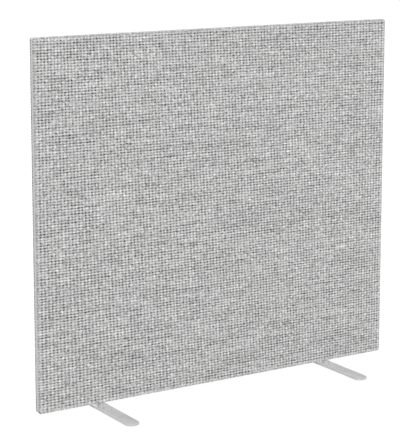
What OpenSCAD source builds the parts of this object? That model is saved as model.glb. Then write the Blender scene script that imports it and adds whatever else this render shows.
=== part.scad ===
// Free-standing acoustic divider screen on two swivelling flat-bar feet.
// X runs along the screen, the front looks towards -Y, Z is up, the floor is Z = 0.
// All sizes are in millimetres.

/* [Screen] */
// Overall width of the screen
screen_w = 1600; // [1300:10:1800]
// Height of the screen itself, without feet
screen_h = 1400; // [900:10:1700]
// Overall thickness of the screen, over both covers
screen_t = 30; // [28:1:40]
// Radius of the screen's four corners
corner_r = 10; // [9:0.5:14]

/* [Covers] */
// Thickness of the woven cover
cover_t = 1; // [0.6:0.1:1.2]
// Thickness of the wadding under each cover
wadding_t = 2; // [1:0.5:3]
// Radius with which a cover rolls over the screen's edge
roll_r = 3; // [2:0.1:3.4]
// How deep a cover is tucked into its slot, measured from the screen's outer edge
tuck_depth = 5; // [3:0.1:6]

/* [Edge profile] */
// Width of the smooth band that shows between the two covers
band_w = 14; // [14:0.5:15]
// Thickness of the band
band_t = 2; // [1.4:0.1:2.4]
// Rise of the crown across the band
crown_rise = 0.4; // [0.2:0.1:0.8]
// Depth of the whole profile, from its outer face to the frame
profile_depth = 8; // [7.5:0.5:9]
// Thickness of the profile's other walls
wall_t = 1.3; // [1:0.1:1.3]
// Length of a corner piece's spigot in the chamber behind the band
spigot_l = 25; // [15:1:40]
// Room between a spigot and its chamber on each side
spigot_clear = 0.2; // [0.1:0.05:0.4]

/* [Frame] */
// Width of the frame's bars, seen from the front
bar_w = 45; // [35:1:60]
// Diameter of the frame's dowels
dowel_d = 8; // [6:1:10]
// Length of a dowel
dowel_l = 50; // [40:1:60]
// Distance between the two dowels of one joint
dowel_pitch = 22; // [18:1:24]
// Room between an absorber and the frame around it
absorber_clear = 0.5; // [0.2:0.1:2]

/* [Feet] */
// Distance of each foot's pivot from the screen's middle
foot_x = 530; // [480:5:600]
// Length of a foot
foot_l = 510; // [400:10:560]
// Width of a foot
foot_w = 55; // [45:1:70]
// Thickness of a foot
foot_t = 8; // [8:0.5:12]
// Radius of the corners at a foot's ends
foot_tip_r = 22; // [12:0.5:22]
// Height of the gap between a foot and the screen
floor_gap = 15; // [12:0.5:20]
// Diameter of a floor pad
pad_d = 20; // [16:1:30]
// Thickness of a floor pad
pad_t = 2; // [1.5:0.1:3]
// Distance of a floor pad's middle from the foot's end
pad_inset = 26; // [22:1:60]

/* [Pivot] */
// Diameter of the pivot boss between foot and screen
boss_d = 26; // [24:1:28]
// Diameter of the raised seat on the boss, which bears on the band and clears the covers
seat_d = 13; // [12:0.1:13.6]
// Height of that seat
seat_h = 0.4; // [0.3:0.1:0.8]
// Diameter of the boss's upper neck, which passes through the bottom profile
neck_d = 11; // [10.6:0.1:11]
// Diameter of the spigot that the foot turns on
pivot_d = 19.9; // [18:0.1:20]
// Thickness of the friction washer on top of the foot
friction_washer_t = 1; // [0.8:0.1:1.5]
// Depth of the recess under the foot for the screw's head and washer
recess_depth = 4.2; // [4.2:0.1:5]
// Diameter of that recess
recess_d = 28; // [27:0.5:32]
// Thickness of the retaining washer
retaining_washer_t = 1.5; // [1:0.1:1.8]
// Diameter of the screw's shank
screw_d = 8; // [6:1:8]
// Length of the screw under its head
screw_l = 45; // [42:1:50]
// Diameter of the screw's flat head
screw_head_d = 16; // [14:0.5:18]
// Thickness of the screw's flat head
screw_head_t = 2.3; // [1.8:0.1:2.3]
// Width across the flats of the screw's hexagon socket
socket_flats = 5; // [4:0.5:6]
// Outer diameter of the threaded insert
insert_d = 12; // [11:0.5:14]
// Length of the threaded insert
insert_l = 20; // [16:1:26]

/* [Hidden] */
// Running clearance on the pivot's radius and under its shoulder
run_clear = 0.05;
// Side clearance of the boss's neck in the profile
neck_clear = 0.15;
// Side clearance of the screw in the boss and the washer
screw_clear = 0.2;
// Gap between the foot's web and the retaining washer
washer_gap = 0.2;
// Side gap between a cover's hem and the band
hem_gap = 0.2;
// Gap between the profile's shoulder and the cover around it
shoulder_gap = 0.1;
// Clearance between a dowel and its hole, and of an insert in its hole
glue_gap = 0.05;
// Share of the screw head's thickness that the socket is deep
socket_share = 0.6;
// Chamfer on the boss's rims
rim_chamfer = 0.6;
// Overshoot of a cut past the face it opens
cut = 1;

// Heights above the floor
foot_z = pad_t;
foot_top = foot_z + foot_t;
screen_z = foot_top + floor_gap;
rail_z = screen_z + profile_depth;
recess_top = foot_z + recess_depth;
pivot_end_z = recess_top - washer_gap;
head_z = pivot_end_z - retaining_washer_t;
shoulder_z = foot_top + friction_washer_t + run_clear;

// Screen layers, from its middle plane outwards
frame_t = screen_t - 2 * (cover_t + wadding_t);
frame_w = screen_w - 2 * profile_depth;
frame_h = screen_h - 2 * profile_depth;
stile_h = frame_h - 2 * bar_w;
bay_w = (frame_w - 3 * bar_w) / 2;

// The edge section: radii from the centre of a corner outwards, and half widths
base_r = corner_r - profile_depth;
floor_r = base_r + wall_t;
band_in_r = corner_r - band_t;
shoulder_r = corner_r - cover_t - shoulder_gap;
band_half = band_w / 2;
chamber_half = band_half - wall_t;
hem_y = band_half + hem_gap;
shoulder_in = hem_y + cover_t + shoulder_gap;
shoulder_out = screen_t / 2 - cover_t - shoulder_gap;
roll_x = corner_r - roll_r;
roll_y = screen_t / 2 - roll_r;
crown_r = (pow(band_half, 2) + pow(crown_rise, 2)) / (2 * crown_rise);

// Numbers of facets on round shapes
round_fn = 64;
crown_fn = 360;
// Sides of the screw's socket
hexagon = 6;

// Turns a screen drawn flat, width along X and height along Y about its middle,
// upright on its gap: its drawn +Z then looks to the front
module stand_up() {
  translate([0, 0, screen_z + screen_h / 2])
    rotate([90, 0, 0])
      children();
}

// A rectangle with round corners, from two bars and four discs
module rounded_rect(w, h, r) {
  square([w - 2 * r, h], center = true);
  square([w, h - 2 * r], center = true);
  for (sx = [-1, 1], sy = [-1, 1])
    translate([sx * (w / 2 - r), sy * (h / 2 - r)])
      circle(r, $fn = round_fn);
}

// A ring or, with no bore, a disc, standing on height z
module ring(d, bore, z, t) {
  translate([0, 0, z])
    difference() {
      cylinder(d = d, h = t, $fn = round_fn);
      if (bore > 0)
        translate([0, 0, -cut])
          cylinder(d = bore, h = t + 2 * cut, $fn = round_fn);
    }
}

// Half the size of the screen across the side that faces a quarter turn
function half_across(turn) = (turn % 180 == 0 ? screen_w : screen_h) / 2;
// Straight length of that side, between the round corners
function straight_along(turn) = (turn % 180 == 0 ? screen_h : screen_w) - 2 * corner_r;

// Runs a section along one straight side: 0 right, 90 top, 180 left, 270 bottom.
// The section's X is the distance out from the corner centres, its Y the screen's thickness
module along_side(turn) {
  rotate([0, 0, turn])
    translate([half_across(turn) - corner_r, 0, 0])
      rotate([90, 0, 0])
        linear_extrude(straight_along(turn), center = true)
          children();
}

// Moves to the centre of the round corner that starts at a quarter turn: 0 top right,
// 90 top left, 180 bottom left, 270 bottom right
module at_corner(turn) {
  sx = turn == 0 || turn == 270 ? 1 : -1;
  sy = turn < 180 ? 1 : -1;
  translate([sx * (screen_w / 2 - corner_r), sy * (screen_h / 2 - corner_r), 0])
    rotate([0, 0, turn])
      children();
}

// Runs the same section round one corner
module round_corner(turn) {
  at_corner(turn)
    rotate_extrude(angle = 90, $fn = round_fn)
      children();
}

// Crowned band in the middle of the screen's edge
module band_section() {
  intersection() {
    translate([band_in_r, -band_half])
      square([band_t, band_w]);
    translate([corner_r - crown_r, 0])
      circle(crown_r, $fn = crown_fn);
  }
}

// Outline of one shoulder from radius r outwards, with the round that a cover rolls over
module shoulder_outline(r) {
  translate([r, shoulder_in])
    square([roll_x - r, shoulder_out - shoulder_in]);
  translate([roll_x, shoulder_in])
    square([shoulder_r - roll_x, roll_y - shoulder_in]);
  translate([roll_x, roll_y])
    intersection() {
      square(roll_r);
      circle(shoulder_r - roll_x, $fn = round_fn);
    }
}

// Section of the extruded edge profile: a hollow band, two open slots, two hollow shoulders
module profile_section() {
  band_section();
  translate([base_r, -shoulder_out])
    square([wall_t, 2 * shoulder_out]);
  for (side = [0, 1])
    mirror([0, side]) {
      translate([base_r, chamber_half])
        square([band_in_r - base_r, wall_t]);
      difference() {
        shoulder_outline(base_r);
        translate([floor_r, shoulder_in + wall_t])
          square([shoulder_r - wall_t - floor_r, shoulder_out - shoulder_in - 2 * wall_t]);
      }
    }
}

// Section of a corner piece: the same outline without the chambers
module corner_section() {
  band_section();
  translate([0, -band_half])
    square([band_in_r, band_w]);
  translate([0, -shoulder_out])
    square([floor_r, 2 * shoulder_out]);
  for (side = [0, 1])
    mirror([0, side])
      shoulder_outline(0);
}

// A quarter of a cover's thickness, bent about the origin to an outer radius
module bent_cover(r) {
  intersection() {
    square(r);
    difference() {
      circle(r, $fn = round_fn);
      circle(r - cover_t, $fn = round_fn);
    }
  }
}

// Section of a cover's edge: flat, rolled over the shoulder, then tucked into the slot
module cover_section() {
  translate([0, screen_t / 2 - cover_t])
    square([roll_x, cover_t]);
  translate([roll_x, roll_y])
    bent_cover(roll_r);
  translate([corner_r - cover_t, shoulder_in])
    square([cover_t, roll_y - shoulder_in]);
  translate([shoulder_r, shoulder_in])
    mirror([0, 1])
      bent_cover(cover_t + shoulder_gap);
  translate([corner_r - tuck_depth, hem_y])
    square([shoulder_r - corner_r + tuck_depth, cover_t]);
}

// One stretched cover, drawn for the front; side 1 mirrors it to the back
module cover(side) {
  color("silver")
    stand_up()
      mirror([0, 0, side]) {
        translate([0, 0, screen_t / 2 - cover_t / 2])
          cube([screen_w - 2 * corner_r, screen_h - 2 * corner_r, cover_t], center = true);
        for (turn = [0 : 90 : 270]) {
          along_side(turn)
            cover_section();
          round_corner(turn)
            cover_section();
        }
      }
}

module wadding(side) {
  color("white")
    stand_up()
      mirror([0, 0, side])
        translate([0, 0, frame_t / 2 + wadding_t / 2])
          cube([frame_w, frame_h, wadding_t], center = true);
}

// Moves to each foot's pivot; side is -1 for the left foot and 1 for the right
module at_foot(side) {
  translate([side * foot_x, 0, 0])
    children();
}

// One straight length of edge profile; the bottom one is pierced for the two pivot bosses
module edge_profile(turn) {
  color("lightgray")
    difference() {
      stand_up()
        along_side(turn)
          profile_section();
      if (turn == 270)
        for (side = [-1, 1])
          at_foot(side)
            ring(neck_d + 2 * neck_clear, 0, screen_z - cut, profile_depth + 2 * cut);
    }
}

// A spigot that lies in the chamber of the profile beside a corner
module spigot() {
  depth = band_in_r - floor_r - 2 * spigot_clear;
  width = 2 * (chamber_half - spigot_clear);
  translate([floor_r + spigot_clear, -spigot_l, -width / 2])
    cube([depth, spigot_l, width]);
}

module corner_piece(turn) {
  color("lightgray")
    stand_up() {
      difference() {
        round_corner(turn)
          corner_section();
        cube([frame_w, frame_h, screen_t], center = true);
      }
      at_corner(turn) {
        spigot();
        rotate([0, 0, 90])
          mirror([0, 1, 0])
            spigot();
      }
    }
}

// The dowels of every frame joint, made oversize by grow for their holes
module dowels(grow) {
  for (x = [-1, 0, 1], z = [-1, 1], pair = [-1, 1])
    translate([x * (frame_w - bar_w) / 2 + pair * dowel_pitch / 2, z * stile_h / 2, 0])
      rotate([90, 0, 0])
        cylinder(d = dowel_d + 2 * grow, h = dowel_l + 2 * grow, center = true, $fn = round_fn);
}

// A rail along the top (1) or the bottom (-1), with the inserts' holes in the bottom one
module rail(level) {
  color("burlywood")
    difference() {
      stand_up()
        difference() {
          translate([0, level * (frame_h - bar_w) / 2, 0])
            cube([frame_w, bar_w, frame_t], center = true);
          dowels(glue_gap);
        }
      if (level < 0)
        for (side = [-1, 1])
          at_foot(side)
            ring(insert_d + 2 * glue_gap, 0, rail_z - cut, insert_l + screw_d + cut);
    }
}

// An upright of the frame at one end (-1 or 1) or in the middle (0)
module upright(place) {
  color("burlywood")
    stand_up()
      difference() {
        translate([place * (frame_w - bar_w) / 2, 0, 0])
          cube([bar_w, stile_h, frame_t], center = true);
        dowels(glue_gap);
      }
}

module frame_dowels() {
  color("tan")
    stand_up()
      dowels(0);
}

module absorber(side) {
  color("gainsboro")
    stand_up()
      translate([side * (bar_w + bay_w) / 2, 0, 0])
        cube([bay_w - 2 * absorber_clear, stile_h - 2 * absorber_clear, frame_t], center = true);
}

module insert(side) {
  color("goldenrod")
    at_foot(side)
      ring(insert_d, screw_d, rail_z, insert_l);
}

// Turned boss: neck in the profile, seat and body in the gap, below them the foot's spigot
module pivot_boss(side) {
  color("gray")
    at_foot(side)
      difference() {
        union() {
          ring(neck_d, 0, screen_z - cut, profile_depth + cut);
          ring(seat_d, 0, screen_z - seat_h - cut, seat_h + cut);
          translate([0, 0, screen_z - seat_h - rim_chamfer])
            cylinder(d1 = boss_d, d2 = boss_d - 2 * rim_chamfer, h = rim_chamfer, $fn = round_fn);
          ring(boss_d, 0, shoulder_z, screen_z - seat_h - rim_chamfer - shoulder_z);
          ring(pivot_d, 0, pivot_end_z, shoulder_z - pivot_end_z + cut);
        }
        ring(screw_d + 2 * screw_clear, 0, pivot_end_z - cut, rail_z - pivot_end_z + 2 * cut);
      }
}

module foot_screw(side) {
  color("dimgray")
    at_foot(side) {
      difference() {
        ring(screw_head_d, 0, head_z - screw_head_t, screw_head_t);
        translate([0, 0, head_z - screw_head_t - cut])
          cylinder(d = socket_flats / cos(180 / hexagon), h = socket_share * screw_head_t + cut,
                   $fn = hexagon);
      }
      ring(screw_d, 0, head_z, screw_l);
    }
}

module retaining_washer(side) {
  color("dimgray")
    at_foot(side)
      ring(boss_d, screw_d + 2 * screw_clear, head_z, retaining_washer_t);
}

module friction_washer(side) {
  color("whitesmoke")
    at_foot(side)
      ring(boss_d, pivot_d + 2 * run_clear, foot_top, friction_washer_t);
}

// Flat-bar foot with round ends, a bore for the pivot and a recess under it
module foot(side) {
  color("darkgray")
    at_foot(side)
      difference() {
        translate([0, 0, foot_z])
          linear_extrude(foot_t)
            rounded_rect(foot_w, foot_l, foot_tip_r);
        ring(pivot_d + 2 * run_clear, 0, foot_z - cut, foot_t + 2 * cut);
        ring(recess_d, 0, foot_z - cut, recess_depth + cut);
      }
}

// A floor pad under the front (-1) or back (1) end of a foot
module floor_pad(side, end) {
  color("black")
    at_foot(side)
      translate([0, end * (foot_l / 2 - pad_inset), 0])
        ring(pad_d, 0, 0, pad_t);
}

rail(-1);  // frame_bottom_rail
rail(1);  // frame_top_rail
upright(-1);  // frame_left_stile
upright(1);  // frame_right_stile
upright(0);  // frame_middle_post
frame_dowels();
absorber(-1);  // absorber_left
absorber(1);  // absorber_right
wadding(0);  // front_wadding
wadding(1);  // back_wadding
cover(0);  // front_cover
cover(1);  // back_cover
edge_profile(90);  // edge_profile_top
edge_profile(270);  // edge_profile_bottom
edge_profile(180);  // edge_profile_left
edge_profile(0);  // edge_profile_right
corner_piece(90);  // corner_top_left
corner_piece(0);  // corner_top_right
corner_piece(180);  // corner_bottom_left
corner_piece(270);  // corner_bottom_right
insert(-1);  // insert_left
insert(1);  // insert_right
pivot_boss(-1);  // pivot_boss_left
pivot_boss(1);  // pivot_boss_right
foot_screw(-1);  // foot_screw_left
foot_screw(1);  // foot_screw_right
retaining_washer(-1);  // retaining_washer_left
retaining_washer(1);  // retaining_washer_right
foot(-1);  // foot_left
foot(1);  // foot_right
friction_washer(-1);  // friction_washer_left
friction_washer(1);  // friction_washer_right
floor_pad(-1, -1);  // floor_pad_left_front
floor_pad(-1, 1);  // floor_pad_left_back
floor_pad(1, -1);  // floor_pad_right_front
floor_pad(1, 1);  // floor_pad_right_back
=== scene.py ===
import math

import bmesh
import bpy
from mathutils import Matrix, Vector


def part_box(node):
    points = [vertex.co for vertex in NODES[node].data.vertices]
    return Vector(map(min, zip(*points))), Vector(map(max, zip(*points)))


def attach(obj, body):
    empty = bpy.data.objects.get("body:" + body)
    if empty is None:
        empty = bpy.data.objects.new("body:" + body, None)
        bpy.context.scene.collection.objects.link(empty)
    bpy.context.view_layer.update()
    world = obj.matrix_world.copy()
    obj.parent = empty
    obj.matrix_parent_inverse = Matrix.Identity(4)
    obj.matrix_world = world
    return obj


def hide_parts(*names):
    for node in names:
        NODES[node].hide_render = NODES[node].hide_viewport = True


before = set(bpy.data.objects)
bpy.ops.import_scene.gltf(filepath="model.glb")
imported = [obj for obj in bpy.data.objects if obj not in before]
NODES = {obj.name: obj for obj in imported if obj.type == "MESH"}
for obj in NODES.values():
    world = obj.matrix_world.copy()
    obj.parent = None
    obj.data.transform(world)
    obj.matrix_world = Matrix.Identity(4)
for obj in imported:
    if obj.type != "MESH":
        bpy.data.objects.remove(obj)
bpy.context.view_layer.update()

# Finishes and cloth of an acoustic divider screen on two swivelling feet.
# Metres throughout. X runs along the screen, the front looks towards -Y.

MM = 0.001

# Sizes of the cover, as the solids have them
CORNER_R = 10 * MM
ROLL_R = 3 * MM
TURN_R = 1.1 * MM
SIDE_RUN = 3.7 * MM
HEM_RUN = 3.9 * MM
COVER_LOW, COVER_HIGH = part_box("front_cover")
SCREEN_HALF_W = COVER_HIGH.x
SCREEN_HALF_H = (COVER_HIGH.z - COVER_LOW.z) / 2
SCREEN_MID_Z = (COVER_HIGH.z + COVER_LOW.z) / 2
FACE_Y = -COVER_LOW.y

# The inner size lies inside the corner radius. Past it the cover runs flat, over the roll,
# along the side, round the turn and into the groove as a hem.
INNER_HALF_W = SCREEN_HALF_W - CORNER_R
INNER_HALF_H = SCREEN_HALF_H - CORNER_R
FLAT_RUN = CORNER_R - ROLL_R
ROLL_RUN = math.pi / 2 * ROLL_R
TURN_RUN = math.pi / 2 * TURN_R
REACH = FLAT_RUN + ROLL_RUN + SIDE_RUN + TURN_RUN + HEM_RUN

# The weave: a plain weave of thick yarns, wider across than up
YARN_W = 14.5 * MM
YARN_H = 10.6 * MM
YARN_RELIEF = 0.5 * MM
YARN_WANDER = 1.2 * MM
WARP_LEAN = -0.05
EDGE_ROWS = 24

# Nearly all values of a noise lie between these two
NOISE_LOW = 0.28
NOISE_HIGH = 0.72


# Node trees

class NodeTree:
    """Short calls that add nodes to a tree and link them."""

    def __init__(self, tree):
        self.tree = tree

    def add(self, kind, **settings):
        made = self.tree.nodes.new(kind)
        for key, value in settings.items():
            setattr(made, key, value)
        return made

    def join(self, source, target):
        self.tree.links.new(source, target)

    def feed(self, socket, value):
        """Links a socket to another, or sets it to a plain value."""
        if isinstance(value, bpy.types.NodeSocket):
            self.join(value, socket)
        else:
            socket.default_value = value

    def math(self, operation, *values, clamp=False):
        made = self.add("ShaderNodeMath", operation=operation, use_clamp=clamp)
        for socket, value in zip(made.inputs, values):
            self.feed(socket, value)
        return made.outputs[0]

    def plus(self, a, b):
        return self.math("ADD", a, b)

    def minus(self, a, b):
        return self.math("SUBTRACT", a, b)

    def times(self, a, b):
        return self.math("MULTIPLY", a, b)

    def one_minus(self, a):
        return self.minus(1.0, a)

    def lesser(self, a, b):
        return self.math("MINIMUM", a, b)

    def greater(self, a, b):
        return self.math("MAXIMUM", a, b)

    def vector(self, x, y, z):
        made = self.add("ShaderNodeCombineXYZ")
        for socket, value in zip(made.inputs, (x, y, z)):
            self.feed(socket, value)
        return made.outputs[0]

    def axes(self, vector):
        made = self.add("ShaderNodeSeparateXYZ")
        self.join(vector, made.inputs[0])
        return made.outputs

    def noise(self, vector, scale=1.0, detail=2.0, roughness=0.5):
        made = self.add("ShaderNodeTexNoise")
        self.join(vector, made.inputs["Vector"])
        made.inputs["Scale"].default_value = scale
        made.inputs["Detail"].default_value = detail
        made.inputs["Roughness"].default_value = roughness
        return made.outputs[0]


class Recipe(NodeTree):
    """The node tree of one material."""

    def __init__(self, name):
        self.material = bpy.data.materials.new(name)
        self.material.use_nodes = True
        super().__init__(self.material.node_tree)
        self.tree.nodes.clear()
        self.shader = self.add("ShaderNodeBsdfPrincipled")
        out = self.add("ShaderNodeOutputMaterial")
        self.join(self.shader.outputs["BSDF"], out.inputs["Surface"])
        self.place = self.add("ShaderNodeTexCoord").outputs["Object"]

    def remap(self, value, from_low, from_high, to_low, to_high):
        made = self.add("ShaderNodeMapRange")
        for socket, v in zip(made.inputs, (value, from_low, from_high, to_low, to_high)):
            self.feed(socket, v)
        return made.outputs["Result"]

    def swing(self, value, low, high):
        """A noise value, spread from low to high about its middle."""
        return self.remap(value, NOISE_LOW, NOISE_HIGH, low, high)

    def attribute(self, name, output):
        """A value that the mesh carries under that name."""
        made = self.add("ShaderNodeAttribute", attribute_name=name, attribute_type="GEOMETRY")
        return made.outputs[output]

    def scaled(self, vector, factors):
        made = self.add("ShaderNodeMapping")
        self.join(vector, made.inputs["Vector"])
        made.inputs["Scale"].default_value = factors
        return made.outputs[0]

    def chance(self, vector):
        """A value from 0 to 1 that is the same all over one cell of the vector."""
        made = self.add("ShaderNodeTexWhiteNoise", noise_dimensions="3D")
        self.join(vector, made.inputs["Vector"])
        return made.outputs["Value"]

    def grey(self, value, tint=(1.0, 1.0, 1.0)):
        """A colour of that brightness, tinted."""
        made = self.add("ShaderNodeCombineColor")
        for socket, share in zip(made.inputs, tint):
            self.feed(socket, self.times(value, share))
        return made.outputs[0]

    def blend(self, factor, low, high):
        """A colour between low and high."""
        made = self.add("ShaderNodeMix", data_type="RGBA")
        self.feed(made.inputs[0], factor)
        self.feed(made.inputs[6], low)
        self.feed(made.inputs[7], high)
        return made.outputs[2]

    def bump(self, height, distance, strength):
        made = self.add("ShaderNodeBump")
        made.inputs["Distance"].default_value = distance
        made.inputs["Strength"].default_value = strength
        self.join(height, made.inputs["Height"])
        self.join(made.outputs["Normal"], self.shader.inputs["Normal"])

    def finish(self, colour, roughness, metallic=0.0):
        self.feed(self.shader.inputs["Base Color"], colour)
        self.feed(self.shader.inputs["Roughness"], roughness)
        self.shader.inputs["Metallic"].default_value = metallic
        return self.material


# The cloth's finish

class WeaveRecipe(Recipe):
    """A recipe for cloth, with its pattern laid out on the counts of its yarns."""

    def __init__(self, name):
        super().__init__(name)
        self.across, self.up, self.turned = self.axes(self.attribute("yarns", "Vector"))
        self.warp_no = self.math("FLOOR", self.across)
        self.weft_no = self.math("FLOOR", self.up)
        self.warp_gap_no = self.math("ROUND", self.across)
        self.weft_gap_no = self.math("ROUND", self.up)
        self.warp_over = self.math("FLOORED_MODULO", self.plus(self.warp_no, self.weft_no), 2.0)

    def mix(self, weft, warp):
        """weft where the weft is on top, and warp where the warp is."""
        return self.plus(weft, self.times(self.warp_over, self.minus(warp, weft)))

    def from_middle(self, count):
        """0 along the middle of a yarn and 1 in the gap beside it."""
        return self.math("ABSOLUTE", self.math("MULTIPLY_ADD", self.math("FRACT", count), 2.0, -1.0))

    def drift(self, x, x_pace, y, y_pace, seed, detail, roughness):
        """Noise over two yarn counts, which changes at its own pace along each."""
        place = self.vector(self.times(x, x_pace), self.times(y, y_pace), seed)
        return self.noise(place, detail=detail, roughness=roughness)

    def line(self, from_middle, along, faintest, darkest):
        """How dark the painted shade in the line between two yarns is, drifting along its way."""
        sharpness = 2.4
        return self.times(self.math("POWER", from_middle, sharpness),
                          self.swing(along, faintest, darkest))

    def cover_and_gap_shade(self):
        """1 on the yarns, less in the lines between them and least where two lines cross; the fall is
        painted shade between the yarns.
        """
        side = self.from_middle(self.across)
        rise = self.from_middle(self.up)
        along_weft = self.drift(self.across, 0.08, self.weft_gap_no, 5.7,
                                seed=2.0, detail=3.0, roughness=0.75)
        along_warp = self.drift(self.warp_gap_no, 5.7, self.up, 0.2,
                                seed=8.0, detail=3.0, roughness=0.8)
        weft_line = self.line(rise, along_weft, faintest=0.02, darkest=0.80)
        warp_line = self.line(side, along_warp, faintest=0.0, darkest=0.42)

        chance = self.chance(self.vector(self.warp_gap_no, self.weft_gap_no, 3.0))
        depth = self.times(self.remap(chance, 0.0, 1.0, 0.35, 1.4), self.swing(along_weft, 0.7, 1.2))
        sharpness = 1.2
        darkest = 0.97
        hole = self.times(self.math("POWER", self.times(side, rise), sharpness), depth)
        hole = self.lesser(hole, darkest)
        # Painted shade: the yarns darken into the lines and holes between them
        clear = self.times(self.one_minus(weft_line), self.one_minus(warp_line))
        clear = self.times(clear, self.one_minus(hole))

        # Where the cloth is drawn over the edge its yarns close up, most at mid turn
        closing = 2.2
        drawn_tight = self.times(self.times(self.turned, self.one_minus(self.turned)), closing)
        return self.one_minus(self.times(self.one_minus(clear), self.one_minus(drawn_tight)))

    def strands(self):
        """The strands that a yarn is spun from: their shade drifts along it in short dashes."""
        weft = self.drift(self.across, 0.9, self.up, 2.1, seed=0.0, detail=1.0, roughness=0.6)
        warp = self.drift(self.across, 2.3, self.up, 0.9, seed=4.0, detail=1.0, roughness=0.6)
        return self.mix(weft, warp)

    def slubs(self):
        """Long pale and dark stretches of whole yarns, stronger in the weft."""
        weft = self.drift(self.across, 0.07, self.weft_no, 5.3, seed=5.0, detail=2.0, roughness=0.65)
        warp = self.drift(self.warp_no, 5.3, self.up, 0.22, seed=6.0, detail=2.0, roughness=0.6)
        return self.mix(self.swing(weft, -0.22, 0.165), self.swing(warp, -0.10, 0.08))


def woven_cloth():
    """Coarse melange plain weave: pale yarns, with painted shade in the lines and holes between them.
    """
    r = WeaveRecipe("woven_light_grey_cloth")
    cover_and_gap_shade = r.cover_and_gap_shade()
    strands = r.strands()
    crossing = r.chance(r.vector(r.warp_no, r.weft_no, 1.0))
    fibres = r.noise(r.place, 520.0, detail=2.0, roughness=0.7)
    cloud = r.noise(r.place, 7.0, detail=3.0, roughness=0.6)
    shade = r.plus(r.swing(strands, -0.46, 0.30), r.slubs())
    shade = r.plus(shade, r.swing(cloud, -0.03, 0.03))
    shade = r.plus(shade, r.times(r.minus(crossing, 0.5), 0.08))
    shade = r.plus(shade, r.swing(fibres, -0.06, 0.06))

    # Pale all over, with painted shade where the cloth turns over the side and top edges
    level = 0.78
    tone = r.times(r.times(r.plus(1.0, shade), cover_and_gap_shade), level)
    tone = r.times(tone, r.remap(r.attribute("painted_edge_shade", "Fac"), 0.0, 0.7, 1.0, 0.80))
    height = r.plus(cover_and_gap_shade, r.plus(r.times(strands, 0.45), r.times(fibres, 0.12)))
    r.bump(height, 0.9 * MM, strength=0.7)
    r.shader.inputs["Sheen Weight"].default_value = 0.12
    r.shader.inputs["Sheen Roughness"].default_value = 0.5
    r.shader.inputs["Specular IOR Level"].default_value = 0.2
    return r.finish(r.grey(tone, (1.0, 1.0, 0.995)), r.remap(cover_and_gap_shade, 0.0, 1.0, 0.98, 0.86))


# The other finishes

def coated_metal(name, level, peel_scale, roughness, specular, tint=(1.0, 1.0, 1.0)):
    """Powder-coated metal: an even tone and a fine orange peel."""
    r = Recipe(name)
    peel = r.noise(r.place, peel_scale, detail=2.0, roughness=0.6)
    drift = r.noise(r.place, 14.0, detail=3.0, roughness=0.55)
    uneven = 0.03 * level
    tone = r.plus(level, r.times(r.minus(drift, 0.5), uneven))
    tone = r.plus(tone, r.times(r.minus(peel, 0.5), uneven))
    r.bump(peel, 0.05 * MM, strength=0.4)
    r.shader.inputs["Specular IOR Level"].default_value = specular
    rough = r.remap(drift, 0.3, 0.7, roughness - 0.05, roughness + 0.05)
    return r.finish(r.grey(tone, tint), rough)


def bare_metal(name, colour, roughness, line_scale):
    """Plated or turned metal with fine tool lines round its upright axis."""
    r = Recipe(name)
    stretch = (line_scale, line_scale, 14 * line_scale)
    lines = r.noise(r.scaled(r.place, stretch), detail=3.0, roughness=0.6)
    dark = tuple(0.86 * c for c in colour) + (1.0,)
    pale = tuple(min(1.0, 1.08 * c) for c in colour) + (1.0,)
    r.bump(lines, 0.03 * MM, strength=0.5)
    rough = r.remap(lines, 0.3, 0.7, roughness - 0.06, roughness + 0.08)
    return r.finish(r.blend(lines, dark, pale), rough, metallic=1.0)


def moulded(name, level, roughness, tint=(1.0, 1.0, 1.0)):
    """Plain moulded plastic or rubber with a fine spark texture."""
    r = Recipe(name)
    grain = r.noise(r.place, 1800.0, detail=2.0, roughness=0.6)
    drift = r.noise(r.place, 30.0, detail=2.0, roughness=0.5)
    tone = r.times(level, r.plus(0.94, r.times(drift, 0.12)))
    r.bump(grain, 0.05 * MM, strength=0.4)
    return r.finish(r.grey(tone, tint), r.remap(grain, 0.3, 0.7, roughness - 0.04, roughness + 0.04))


def planed_timber(name, stretch):
    """Softwood with its grain along the axis whose stretch is smallest."""
    r = Recipe(name)
    grain = r.noise(r.scaled(r.place, stretch), detail=5.0, roughness=0.62)
    rings = r.math("SINE", r.times(grain, 34.0))
    figure = r.plus(r.times(rings, 0.28), r.times(grain, 0.7))
    r.bump(figure, 0.08 * MM, strength=0.5)
    colour = r.blend(figure, (0.44, 0.29, 0.16, 1.0), (0.72, 0.55, 0.35, 1.0))
    return r.finish(colour, r.remap(figure, 0.0, 1.0, 0.75, 0.6))


def pressed_fibre(name, level, fibre_scale):
    """Soft fibre: matt, mottled and fuzzy."""
    r = Recipe(name)
    fibre = r.noise(r.scaled(r.place, (1.0, 1.0, 0.35)), fibre_scale, detail=4.0, roughness=0.7)
    tone = r.times(level, r.plus(0.85, r.times(fibre, 0.3)))
    r.bump(fibre, 0.5 * MM, strength=0.7)
    return r.finish(r.grey(tone, (1.0, 0.995, 0.98)), r.remap(fibre, 0.0, 1.0, 1.0, 0.9))


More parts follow.
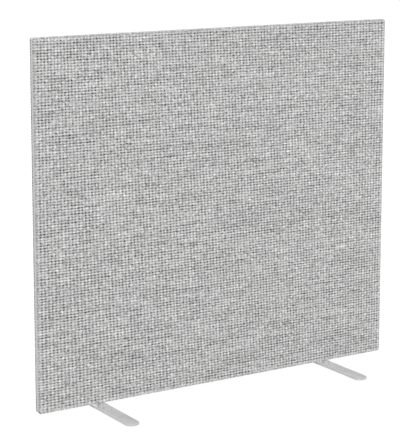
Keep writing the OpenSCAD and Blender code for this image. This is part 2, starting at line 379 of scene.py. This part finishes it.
COOL = (1.0, 1.0, 1.005)
CLOTH = woven_cloth()
EDGE_COAT = coated_metal("matt_light_grey_edge", 0.60, peel_scale=900.0, roughness=0.5, specular=0.35)
CORNER_PLASTIC = moulded("matt_light_grey_corner", 0.60, roughness=0.5)
FOOT_COAT = coated_metal("satin_grey_coat", 0.61, peel_scale=700.0, roughness=0.30, specular=0.6,
                         tint=COOL)
BOSS_COAT = coated_metal("satin_grey_boss", 0.58, peel_scale=800.0, roughness=0.35, specular=0.6,
                         tint=COOL)
PLATED = bare_metal("zinc_plated_steel", (0.62, 0.63, 0.65), roughness=0.34, line_scale=260.0)
BRASS = bare_metal("turned_brass", (0.78, 0.6, 0.28), roughness=0.3, line_scale=260.0)
NYLON = moulded("natural_nylon", 0.78, roughness=0.45, tint=(1.0, 0.99, 0.95))
RUBBER = moulded("black_rubber", 0.03, roughness=0.7)
TIMBER_LONG = planed_timber("planed_timber_along", (6.0, 60.0, 60.0))
TIMBER_UP = planed_timber("planed_timber_upright", (60.0, 60.0, 6.0))
DOWEL_WOOD = planed_timber("turned_dowel_wood", (90.0, 90.0, 9.0))
FELT = pressed_fibre("pressed_fibre_absorber", 0.5, fibre_scale=260.0)
WADDING = pressed_fibre("soft_white_wadding", 0.75, fibre_scale=400.0)

# The finish of each carried-over node, by the start of its name
FINISHES = {
    "frame_bottom_rail": TIMBER_LONG,
    "frame_top_rail": TIMBER_LONG,
    "frame_dowels": DOWEL_WOOD,
    "frame_": TIMBER_UP,
    "absorber": FELT,
    "insert": BRASS,
    "pivot_boss": BOSS_COAT,
    "foot_screw": PLATED,
    "retaining_washer": PLATED,
    "friction_washer": NYLON,
    "floor_pad": RUBBER,
    "edge_profile": EDGE_COAT,
    "corner_": CORNER_PLASTIC,
    "foot_": FOOT_COAT,
    "front_": WADDING,
    "back_": WADDING,
}


def finish_of(node_name):
    """The first finish whose key starts the node's name."""
    return next(f for key, f in FINISHES.items() if node_name.startswith(key))


def set_material(obj, material):
    """Gives every face of an object one material."""
    if not obj.material_slots:
        obj.data.materials.append(material)
    for held in obj.material_slots:
        held.material = material


# Woven covers, made by a Geometry Nodes tree

class Shape(NodeTree):
    """A Geometry Nodes tree with named sizes as its inputs."""

    def __init__(self, name, sizes):
        super().__init__(bpy.data.node_groups.new(name, "GeometryNodeTree"))
        self.keys = {}
        face = self.tree.interface
        for label, value in sizes.items():
            kind = "NodeSocketInt" if isinstance(value, int) else "NodeSocketFloat"
            socket = face.new_socket(label, in_out="INPUT", socket_type=kind)
            self.keys[label] = (socket.identifier, value)
        face.new_socket("Mesh", in_out="OUTPUT", socket_type="NodeSocketGeometry")
        given = self.add("NodeGroupInput").outputs
        self.size = {label: given[label] for label in sizes}
        self.out = self.add("NodeGroupOutput")

    def note(self, geometry, label, kind, value):
        """Stores a value on the points of the geometry."""
        made = self.add("GeometryNodeStoreNamedAttribute", data_type=kind, domain="POINT")
        self.join(geometry, made.inputs["Geometry"])
        made.inputs["Name"].default_value = label
        self.join(value, made.inputs["Value"])
        return made.outputs["Geometry"]

    def make(self, name, last, material):
        """Ends the tree, runs it once and returns what it makes as a plain object."""
        realize = self.add("GeometryNodeRealizeInstances")
        paint = self.add("GeometryNodeSetMaterial")
        paint.inputs["Material"].default_value = material
        self.join(last, realize.inputs[0])
        self.join(realize.outputs[0], paint.inputs["Geometry"])
        self.join(paint.outputs[0], self.out.inputs[0])
        holder = bpy.data.objects.new(name + "_holder", bpy.data.meshes.new(name + "_holder"))
        bpy.context.scene.collection.objects.link(holder)
        modifier = holder.modifiers.new("shape", "NODES")
        modifier.node_group = self.tree
        for identifier, value in self.keys.values():
            modifier[identifier] = value
        depsgraph = bpy.context.evaluated_depsgraph_get()
        mesh = bpy.data.meshes.new_from_object(holder.evaluated_get(depsgraph))
        bpy.data.objects.remove(holder)
        mesh.name = name
        made = bpy.data.objects.new(name, mesh)
        bpy.context.scene.collection.objects.link(made)
        return made


def step_grid(s):
    """A grid of unit steps, two to a yarn, with close rows round the edge."""
    grid = s.add("GeometryNodeMeshGrid")
    for axis, yarns in (("X", "Warp yarns"), ("Y", "Weft yarns")):
        steps = s.plus(s.times(s.size[yarns], 2.0), s.times(s.size["Edge rows"], 2.0))
        s.join(steps, grid.inputs["Size " + axis])
        s.join(s.plus(steps, 1.0), grid.inputs["Vertices " + axis])
    step_x, step_z, _ = s.axes(s.add("GeometryNodeInputPosition").outputs[0])
    return grid.outputs["Mesh"], step_x, step_z


def spread(s, step, yarns, half):
    """The side a grid step is on, its place in the inner size, and how far past that it is."""
    away = s.math("ABSOLUTE", step)
    inside = s.lesser(away, yarns)
    past = s.math("DIVIDE", s.minus(away, inside), s.size["Edge rows"])
    placed = s.times(s.math("DIVIDE", inside, yarns), half)
    return s.math("SIGN", step), placed, s.times(past, s.size["Reach"])


def corner_fan(s, past_x, past_z):
    """Fans the square of border steps at a corner out to a quarter circle.

    Gives how far past the inner size a point is, and how much of that goes along x and z.
    """
    tiny = 1e-9
    past = s.greater(past_x, past_z)
    share = s.math("DIVIDE", s.lesser(past_x, past_z), s.greater(past, tiny))
    fan = s.times(share, math.pi / 4)
    x_leads = s.math("GREATER_THAN", s.plus(past_x, tiny), past_z)

    def pick(if_x_leads, otherwise):
        return s.plus(otherwise, s.times(x_leads, s.minus(if_x_leads, otherwise)))

    fan_x = pick(s.math("COSINE", fan), s.math("SINE", fan))
    fan_z = pick(s.math("SINE", fan), s.math("COSINE", fan))
    return past, fan_x, fan_z


def edge_path(s, past):
    """How far out and how deep the cloth lies, by how far past the inner size it is."""
    def clamped(value, top):
        return s.lesser(s.greater(value, 0.0), top)

    quarter = math.pi / 2
    after_flat = s.minus(past, s.size["Flat run"])
    roll = clamped(s.math("DIVIDE", after_flat, s.size["Roll radius"]), quarter)
    after_roll = s.minus(after_flat, s.times(s.size["Roll radius"], quarter))
    along_side = clamped(after_roll, s.size["Side run"])
    after_side = s.minus(after_roll, s.size["Side run"])
    turn = clamped(s.math("DIVIDE", after_side, s.size["Turn radius"]), quarter)
    hem = s.greater(s.minus(after_side, s.times(s.size["Turn radius"], quarter)), 0.0)

    outward = s.plus(s.lesser(past, s.size["Flat run"]),
                     s.times(s.size["Roll radius"], s.math("SINE", roll)))
    drawn_in = s.times(s.size["Turn radius"], s.one_minus(s.math("COSINE", turn)))
    outward = s.minus(s.minus(outward, drawn_in), hem)
    depth = s.plus(s.times(s.size["Roll radius"], s.one_minus(s.math("COSINE", roll))),
                   s.plus(along_side, s.times(s.size["Turn radius"], s.math("SINE", turn))))
    return outward, depth


def wander(s, line, along, seed):
    """Thick and thin yarns: each line of grid points strays a little on its own."""
    line_pace = 7.31
    along_pace = 0.35
    spread_out = 4.0
    noise = s.noise(s.vector(s.times(line, line_pace), s.times(along, along_pace), seed))
    return s.times(s.times(s.minus(noise, 0.5), spread_out), s.size["Wander"])


def yarn_sink(s, across, up):
    """0 on top of the yarns and 1 deep in the gaps between them."""
    def crown(count):
        return s.times(s.one_minus(s.math("COSINE", s.times(count, 2 * math.pi))), 0.5)

    return s.one_minus(s.times(s.plus(crown(across), crown(up)), 0.5))


def woven_cover(name, facing, odd_steps):
    """A stretched cover with its yarns in relief, wrapped round its edge and tucked in.

    facing is 1 for the front cover and -1 for the back one, which is turned half a turn
    about the upright axis. odd_steps is 1 where a yarn and not a gap meets the inner size.
    """
    warps = 2 * round(INNER_HALF_W / YARN_W) + odd_steps
    wefts = 2 * round(INNER_HALF_H / YARN_H) + odd_steps
    s = Shape(name + "_weave", {
        "Inner half width": INNER_HALF_W, "Inner half height": INNER_HALF_H,
        "Warp yarns": warps, "Weft yarns": wefts, "Edge rows": EDGE_ROWS,
        "Flat run": FLAT_RUN, "Roll radius": ROLL_R, "Side run": SIDE_RUN,
        "Turn radius": TURN_R, "Reach": REACH, "Face": FACE_Y, "Middle height": SCREEN_MID_Z,
        "Yarn width": 2 * INNER_HALF_W / warps, "Yarn height": 2 * INNER_HALF_H / wefts,
        "Relief": YARN_RELIEF, "Wander": YARN_WANDER, "Warp lean": WARP_LEAN,
        "Facing": float(facing),
    })
    size = s.size
    grid, step_x, step_z = step_grid(s)
    way_x, in_x, past_x = spread(s, step_x, size["Warp yarns"], size["Inner half width"])
    way_z, in_z, past_z = spread(s, step_z, size["Weft yarns"], size["Inner half height"])
    past, fan_x, fan_z = corner_fan(s, past_x, past_z)
    outward, depth = edge_path(s, past)

    # Where each point lies on the flat cloth, counted in yarns
    across = s.times(way_x, s.math("DIVIDE", s.plus(in_x, s.times(past, fan_x)), size["Yarn width"]))
    up = s.times(way_z, s.math("DIVIDE", s.plus(in_z, s.times(past, fan_z)), size["Yarn height"]))

    # The yarns are free to stray and lean in the middle, and held along the edge
    def room(inside, half):
        share = s.math("DIVIDE", inside, half)
        return s.one_minus(s.times(share, share))

    free_x = room(in_x, size["Inner half width"])
    free_z = room(in_z, size["Inner half height"])
    quick_rise = 12.0
    free = s.lesser(s.times(s.times(free_x, free_z), quick_rise), 1.0)
    x = s.times(way_x, s.plus(in_x, s.times(outward, fan_x)))
    z = s.times(way_z, s.plus(in_z, s.times(outward, fan_z)))
    lean = s.times(s.times(z, size["Warp lean"]), free_x)
    placed_x = s.plus(s.plus(x, lean), s.times(wander(s, step_x, up, seed=1.0), free))
    placed_z = s.plus(z, s.times(wander(s, step_z, across, seed=2.0), free))

    # The relief fades out before the roll
    fade = s.math("SUBTRACT", 1.0, s.math("DIVIDE", past, size["Flat run"]), clamp=True)
    relief = s.times(s.times(yarn_sink(s, across, up), size["Relief"]), fade)
    y = s.minus(s.plus(depth, relief), size["Face"])

    # What the cloth's finish needs to know: the yarn counts, how far the cloth has turned
    # over the edge, and how much painted shade it gets there, which it doesn't along the bottom
    turned = s.math("DIVIDE", past, FLAT_RUN + ROLL_RUN, clamp=True)
    lower = s.times(s.math("LESS_THAN", way_z, 0.0), s.times(fan_z, fan_z))
    painted_edge_shade = s.times(turned, s.one_minus(lower))
    noted = s.note(grid, "yarns", "FLOAT_VECTOR", s.vector(across, up, turned))
    noted = s.note(noted, "painted_edge_shade", "FLOAT", painted_edge_shade)

    move = s.add("GeometryNodeSetPosition")
    s.join(noted, move.inputs["Geometry"])
    s.join(s.vector(s.times(placed_x, size["Facing"]), s.times(y, size["Facing"]),
                    s.plus(placed_z, size["Middle height"])), move.inputs["Position"])
    smooth = s.add("GeometryNodeSetShadeSmooth")
    s.join(move.outputs[0], smooth.inputs["Geometry"])
    return s.make(name, smooth.outputs[0], CLOTH)


for side_name, facing, odd_steps in (("front", 1, 1), ("back", -1, 0)):
    cloth = woven_cover(side_name + "_cover_cloth", facing, odd_steps)
    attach(cloth, "screen")
    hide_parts(side_name + "_cover")


# The feet, as copies of their solids with eased rims

RIM_EASE = 0.8 * MM
RIM_SEGMENTS = 3
MERGE_WITHIN = 0.005 * MM
FLAT_WITHIN = math.radians(0.5)
SHARP_OVER = math.radians(40)


def clean_copy(node_name, name):
    """A node's mesh with its loose triangles merged to whole faces."""
    mesh = NODES[node_name].data.copy()
    mesh.name = name
    shape = bmesh.new()
    shape.from_mesh(mesh)
    bmesh.ops.remove_doubles(shape, verts=shape.verts, dist=MERGE_WITHIN)
    bmesh.ops.dissolve_limit(shape, angle_limit=FLAT_WITHIN, verts=shape.verts, edges=shape.edges)
    bmesh.ops.recalc_face_normals(shape, faces=shape.faces)
    shape.to_mesh(mesh)
    shape.free()
    return mesh


def eased_foot(node_name):
    """A foot with its sharp rims rounded off."""
    name = node_name + "_eased"
    foot = bpy.data.objects.new(name, clean_copy(node_name, name))
    bpy.context.scene.collection.objects.link(foot)
    set_material(foot, finish_of(node_name))
    foot.data.shade_smooth()
    bevel = foot.modifiers.new("eased_rims", "BEVEL")
    bevel.width = RIM_EASE
    bevel.segments = RIM_SEGMENTS
    bevel.limit_method = "ANGLE"
    bevel.angle_limit = SHARP_OVER
    bevel.harden_normals = True
    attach(foot, node_name)
    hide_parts(node_name)


for foot_name in ("foot_left", "foot_right"):
    eased_foot(foot_name)

for node_name, node in NODES.items():
    if node_name not in ("front_cover", "back_cover"):
        set_material(node, finish_of(node_name))


# Studio

IMAGE_H = 446
FOCAL_PIXELS = 1618.6
CAMERA_PLACE = Vector((-3.3727, -5.2129, 1.9482))
CAMERA_TURN = 32.230
CAMERA_DIP = 9.358
CAMERA_SHIFT = -0.15
SENSOR_MM = 36.0
FARTHEST_SEEN = 100.0

# The floor seen by the camera and in reflections glows to white. Other rays meet plain paper.
PAPER_GREY = 0.60
SEEN_PAPER_GREY = 0.22
SEEN_PAPER_GLOW = 0.84


def add_camera():
    """A long lens at the photograph's angle, shifted a little so that uprights lean less."""
    data = bpy.data.cameras.new("camera")
    data.sensor_width = SENSOR_MM
    data.lens = FOCAL_PIXELS * SENSOR_MM / IMAGE_H
    data.shift_y = CAMERA_SHIFT
    data.clip_end = FARTHEST_SEEN
    camera = bpy.data.objects.new("camera", data)
    camera.location = CAMERA_PLACE
    turn = Matrix.Rotation(-math.radians(CAMERA_TURN), 4, "Z")
    dip = Matrix.Rotation(math.radians(90 - CAMERA_DIP), 4, "X")
    camera.rotation_euler = (turn @ dip).to_euler()
    bpy.context.scene.collection.objects.link(camera)
    bpy.context.scene.camera = camera


def add_sun(name, heading, strength, softness):
    """A distant lamp that shines along a heading, with shadows soft by that many degrees."""
    data = bpy.data.lights.new(name, "SUN")
    data.energy = strength
    data.angle = math.radians(softness)
    lamp = bpy.data.objects.new(name, data)
    lamp.location = -3.0 * Vector(heading)
    lamp.rotation_euler = Vector(heading).to_track_quat("-Z", "Y").to_euler()
    bpy.context.scene.collection.objects.link(lamp)


def by_ray(nodes, links, socket, unseen, seen):
    """Sets a socket to seen for camera, glossy and transmission rays, and else to unseen."""
    path = nodes.new("ShaderNodeLightPath")
    total = path.outputs["Is Camera Ray"]
    for ray in ("Is Glossy Ray", "Is Transmission Ray"):
        both = nodes.new("ShaderNodeMath")
        both.operation = "MAXIMUM"
        links.new(total, both.inputs[0])
        links.new(path.outputs[ray], both.inputs[1])
        total = both.outputs[0]
    level = nodes.new("ShaderNodeMapRange")
    links.new(total, level.inputs["Value"])
    level.inputs["To Min"].default_value = unseen
    level.inputs["To Max"].default_value = seen
    links.new(level.outputs["Result"], socket)


def add_world(ambient):
    """White to look at, and a plain even light for everything else."""
    world = bpy.data.worlds.new("studio")
    bpy.context.scene.world = world
    world.use_nodes = True
    nodes, links = world.node_tree.nodes, world.node_tree.links
    by_ray(nodes, links, nodes["Background"].inputs["Strength"], ambient, 1.0)
    nodes["Background"].inputs["Color"].default_value = (1.0, 1.0, 1.0, 1.0)


def pale_paper():
    """Paper that reads as white, keeps a shadow and is clear from below."""
    paper = bpy.data.materials.new("pale_paper_floor")
    paper.use_nodes = True
    nodes, links = paper.node_tree.nodes, paper.node_tree.links
    shader = nodes["Principled BSDF"]
    by_ray(nodes, links, shader.inputs["Base Color"], PAPER_GREY, SEEN_PAPER_GREY)
    by_ray(nodes, links, shader.inputs["Emission Strength"], 0.0, SEEN_PAPER_GLOW)
    shader.inputs["Emission Color"].default_value = (1.0, 1.0, 1.0, 1.0)
    shader.inputs["Roughness"].default_value = 0.9
    shader.inputs["Specular IOR Level"].default_value = 0.0
    two_sides = nodes.new("ShaderNodeMixShader")
    links.new(nodes.new("ShaderNodeNewGeometry").outputs["Backfacing"], two_sides.inputs[0])
    links.new(shader.outputs["BSDF"], two_sides.inputs[1])
    links.new(nodes.new("ShaderNodeBsdfTransparent").outputs["BSDF"], two_sides.inputs[2])
    links.new(two_sides.outputs["Shader"], nodes["Material Output"].inputs["Surface"])
    return paper


def add_floor(half):
    """A wide pale floor."""
    mesh = bpy.data.meshes.new("floor")
    corners = [(-half, -half, 0), (half, -half, 0), (half, half, 0), (-half, half, 0)]
    mesh.from_pydata(corners, [], [(0, 1, 2, 3)])
    floor = bpy.data.objects.new("floor", mesh)
    bpy.context.scene.collection.objects.link(floor)
    floor.data.materials.append(pale_paper())


add_camera()
add_world(ambient=0.62)
add_floor(half=60.0)
add_sun("key", (0.45, 0.62, -0.62), strength=1.6, softness=40.0)
add_sun("back_light", (-0.20, -0.75, -0.62), strength=0.9, softness=30.0)
bpy.context.scene.view_settings.view_transform = "Standard"
